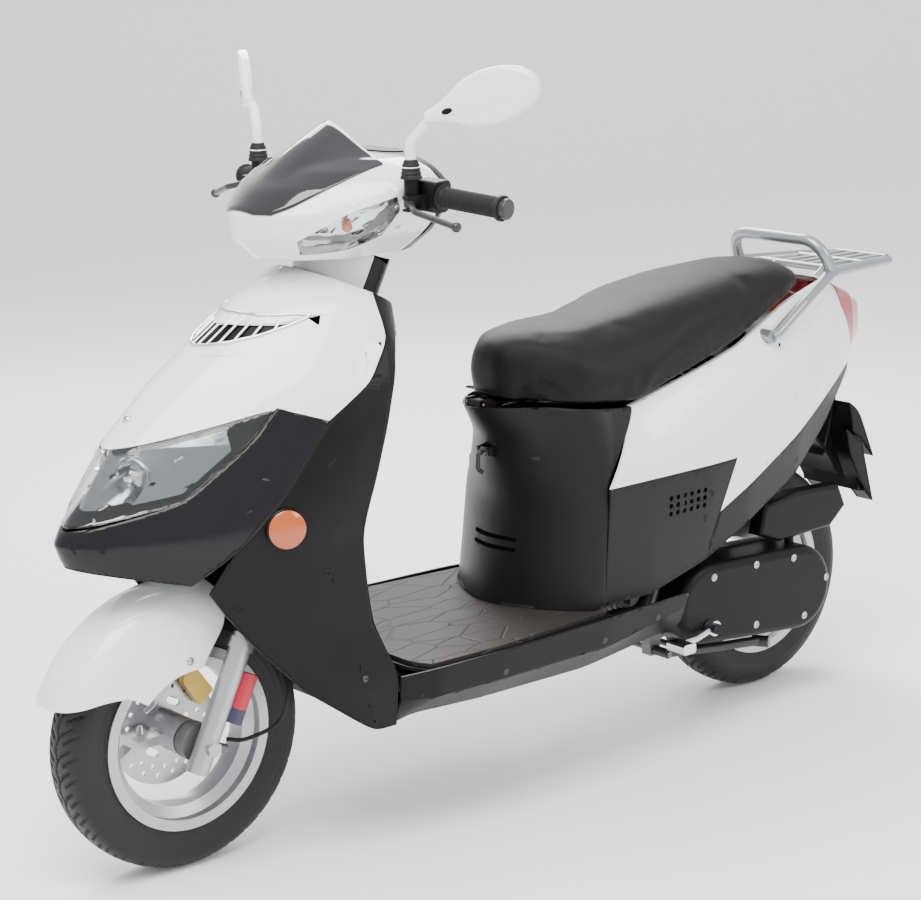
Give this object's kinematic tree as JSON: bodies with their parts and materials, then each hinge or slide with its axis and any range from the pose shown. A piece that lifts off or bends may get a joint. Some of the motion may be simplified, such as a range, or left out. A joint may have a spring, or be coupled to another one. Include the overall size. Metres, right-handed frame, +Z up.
{
  "type": "moped scooter",
  "caption": "Step-through moped scooter with fairing, telescopic fork, swinging drive unit, two-level seat, grab rail with rack, mirrors and folding stand.",
  "frame": {"origin": "on the ground under the middle of the machine", "axes": "+X forward along the machine, +Y to the rider's left, +Z up"},
  "size_m": [1.8663, 0.788, 1.2511],
  "materials": {
    "white_paint": "gloss white lacquered plastic",
    "black_gloss": "gloss black lacquered plastic",
    "black_satin": "satin black moulded plastic",
    "grey_plastic": "grained charcoal plastic",
    "rubber": "matte black rubber",
    "tyre": "tyre rubber",
    "cast_alloy": "silver painted cast alloy",
    "dark_alloy": "sand cast grey alloy",
    "steel": "machined steel",
    "black_steel": "black painted steel",
    "chrome": "bright chrome",
    "gold": "gold anodised",
    "silver_paint": "silver grey lacquer",
    "seat_leather": "black leatherette",
    "clear_lens": "clear moulded lens",
    "amber": "amber reflector",
    "tail_red": "red lens",
    "smoked": "smoked acrylic",
    "reflector": "metallised reflector"
  },
  "bodies": {
    "chassis": {"front_panel": "white_paint", "front_grille": "chrome", "headlight_lens": "clear_lens", "headlight_housing": "reflector", "nose_cowl": "black_gloss", "leg_sides": "black_satin", "leg_shield": "black_satin", "side_reflectors": "amber", "inner_mudguard": "black_satin", "frame_tubes": "black_steel", "floor_board": "black_satin", "floor_mat": "rubber", "lower_skirts": "black_satin", "belly_pan": "black_satin", "seat_pillar": "grey_plastic", "side_panel_left": "white_paint", "side_panel_right": "white_paint", "vent_panels": "grey_plastic", "tail_trims": "black_satin", "tail_lamp": "tail_red", "rear_fender": "black_satin", "grab_rail": "silver_paint", "luggage_box": "black_satin", "fuel_tank": "black_steel", "battery": "black_satin", "rear_shock": "steel"},
    "steering": {"fork_stem": "steel", "handlebar": "black_steel", "left_grip": "rubber", "switch_housings": "black_satin", "neck_cover": "black_satin", "indicator_lenses": "clear_lens", "head_cowl_front": "white_paint", "head_cowl_rear": "black_satin", "speedometer": "black_satin", "visor": "smoked"},
    "throttle": {"throttle_grip": "rubber"},
    "left_lever": {"brake_lever_left": "black_steel"},
    "right_lever": {"brake_lever_right": "black_steel"},
    "left_mirror": {"mirror_left": "white_paint"},
    "right_mirror": {"mirror_right": "white_paint"},
    "fork": {"fork_legs": "cast_alloy", "speedo_drive": "dark_alloy", "brake_caliper": "gold", "front_fender": "white_paint"},
    "front_wheel": {"front_tyre": "tyre", "front_rim": "cast_alloy", "brake_disc": "steel"},
    "seat": {"seat_cushion": "seat_leather", "seat_pan": "black_satin"},
    "hook": {"bag_hook": "black_steel"},
    "drive_unit": {"crankcase": "dark_alloy", "cvt_cover": "black_satin", "belt_drive": "steel", "air_box": "black_satin", "muffler": "black_steel"},
    "rear_wheel": {"rear_tyre": "tyre", "rear_rim": "cast_alloy"},
    "kick_start": {"kick_lever": "chrome"},
    "stand": {"centre_stand": "black_steel"}
  },
  "joints": [
    {"name": "steer", "type": "hinge", "parent": "chassis", "child": "steering", "pos_m": [0.334, 0, 0.8845], "axis": [-0.4462, 0, 0.8949], "range_deg": [-26, 26]},
    {"name": "throttle_twist", "type": "hinge", "parent": "steering", "child": "throttle", "pos_m": [0.30055, -0.27525, 1.0432], "axis": [-0.2428, -0.965, -0.0996], "range_deg": [0, 70], "stiffness_Nm_per_rad": 0.3, "springref_deg": -17.19},
    {"name": "left_brake", "type": "hinge", "parent": "steering", "child": "left_lever", "pos_m": [0.366, 0.214, 1.042], "axis": [0, 0, 1], "range_deg": [0, 14], "stiffness_Nm_per_rad": 3, "springref_deg": -11.46},
    {"name": "right_brake", "type": "hinge", "parent": "steering", "child": "right_lever", "pos_m": [0.366, -0.214, 1.042], "axis": [0, 0, -1], "range_deg": [0, 14], "stiffness_Nm_per_rad": 3, "springref_deg": -11.46},
    {"name": "left_mirror_turn", "type": "hinge", "parent": "steering", "child": "left_mirror", "pos_m": [0.352, 0.204, 1.08], "axis": [0, 0, 1], "range_deg": [-30, 30]},
    {"name": "right_mirror_turn", "type": "hinge", "parent": "steering", "child": "right_mirror", "pos_m": [0.352, -0.204, 1.08], "axis": [0, 0, -1], "range_deg": [-30, 30]},
    {"name": "fork_slide", "type": "slide", "parent": "steering", "child": "fork", "axis": [-0.4462, 0, 0.8949], "range_m": [0, 0.025], "stiffness_N_per_m": 14000, "springref_m": -0.06},
    {"name": "front_wheel_spin", "type": "hinge", "parent": "fork", "child": "front_wheel", "pos_m": [0.7, 0, 0.216], "axis": [0, 1, 0], "continuous": true},
    {"name": "seat_lift", "type": "hinge", "parent": "chassis", "child": "seat", "pos_m": [0.062, 0, 0.652], "axis": [0, 1, 0], "range_deg": [0, 60]},
    {"name": "hook_fold", "type": "hinge", "parent": "chassis", "child": "hook", "pos_m": [0.048, 0, 0.566], "axis": [0, -1, 0], "range_deg": [0, 80]},
    {"name": "rear_suspension", "type": "hinge", "parent": "chassis", "child": "drive_unit", "pos_m": [-0.215, 0, 0.205], "axis": [0, 1, 0], "range_deg": [0, 8], "stiffness_Nm_per_rad": 1800, "springref_deg": -14.32, "deforming": ["rear_shock"]},
    {"name": "rear_wheel_spin", "type": "hinge", "parent": "drive_unit", "child": "rear_wheel", "pos_m": [-0.6, 0, 0.216], "axis": [0, 1, 0], "continuous": true},
    {"name": "kick_start", "type": "hinge", "parent": "drive_unit", "child": "kick_start", "pos_m": [-0.345, 0.17, 0.196], "axis": [0, 1, 0], "range_deg": [0, 45], "stiffness_Nm_per_rad": 2, "springref_deg": -28.65},
    {"name": "stand_swing", "type": "hinge", "parent": "drive_unit", "child": "stand", "pos_m": [-0.3, 0, 0.14], "axis": [0, -1, 0], "range_deg": [0, 72], "stiffness_Nm_per_rad": 5, "springref_deg": -40.11}
  ]
}
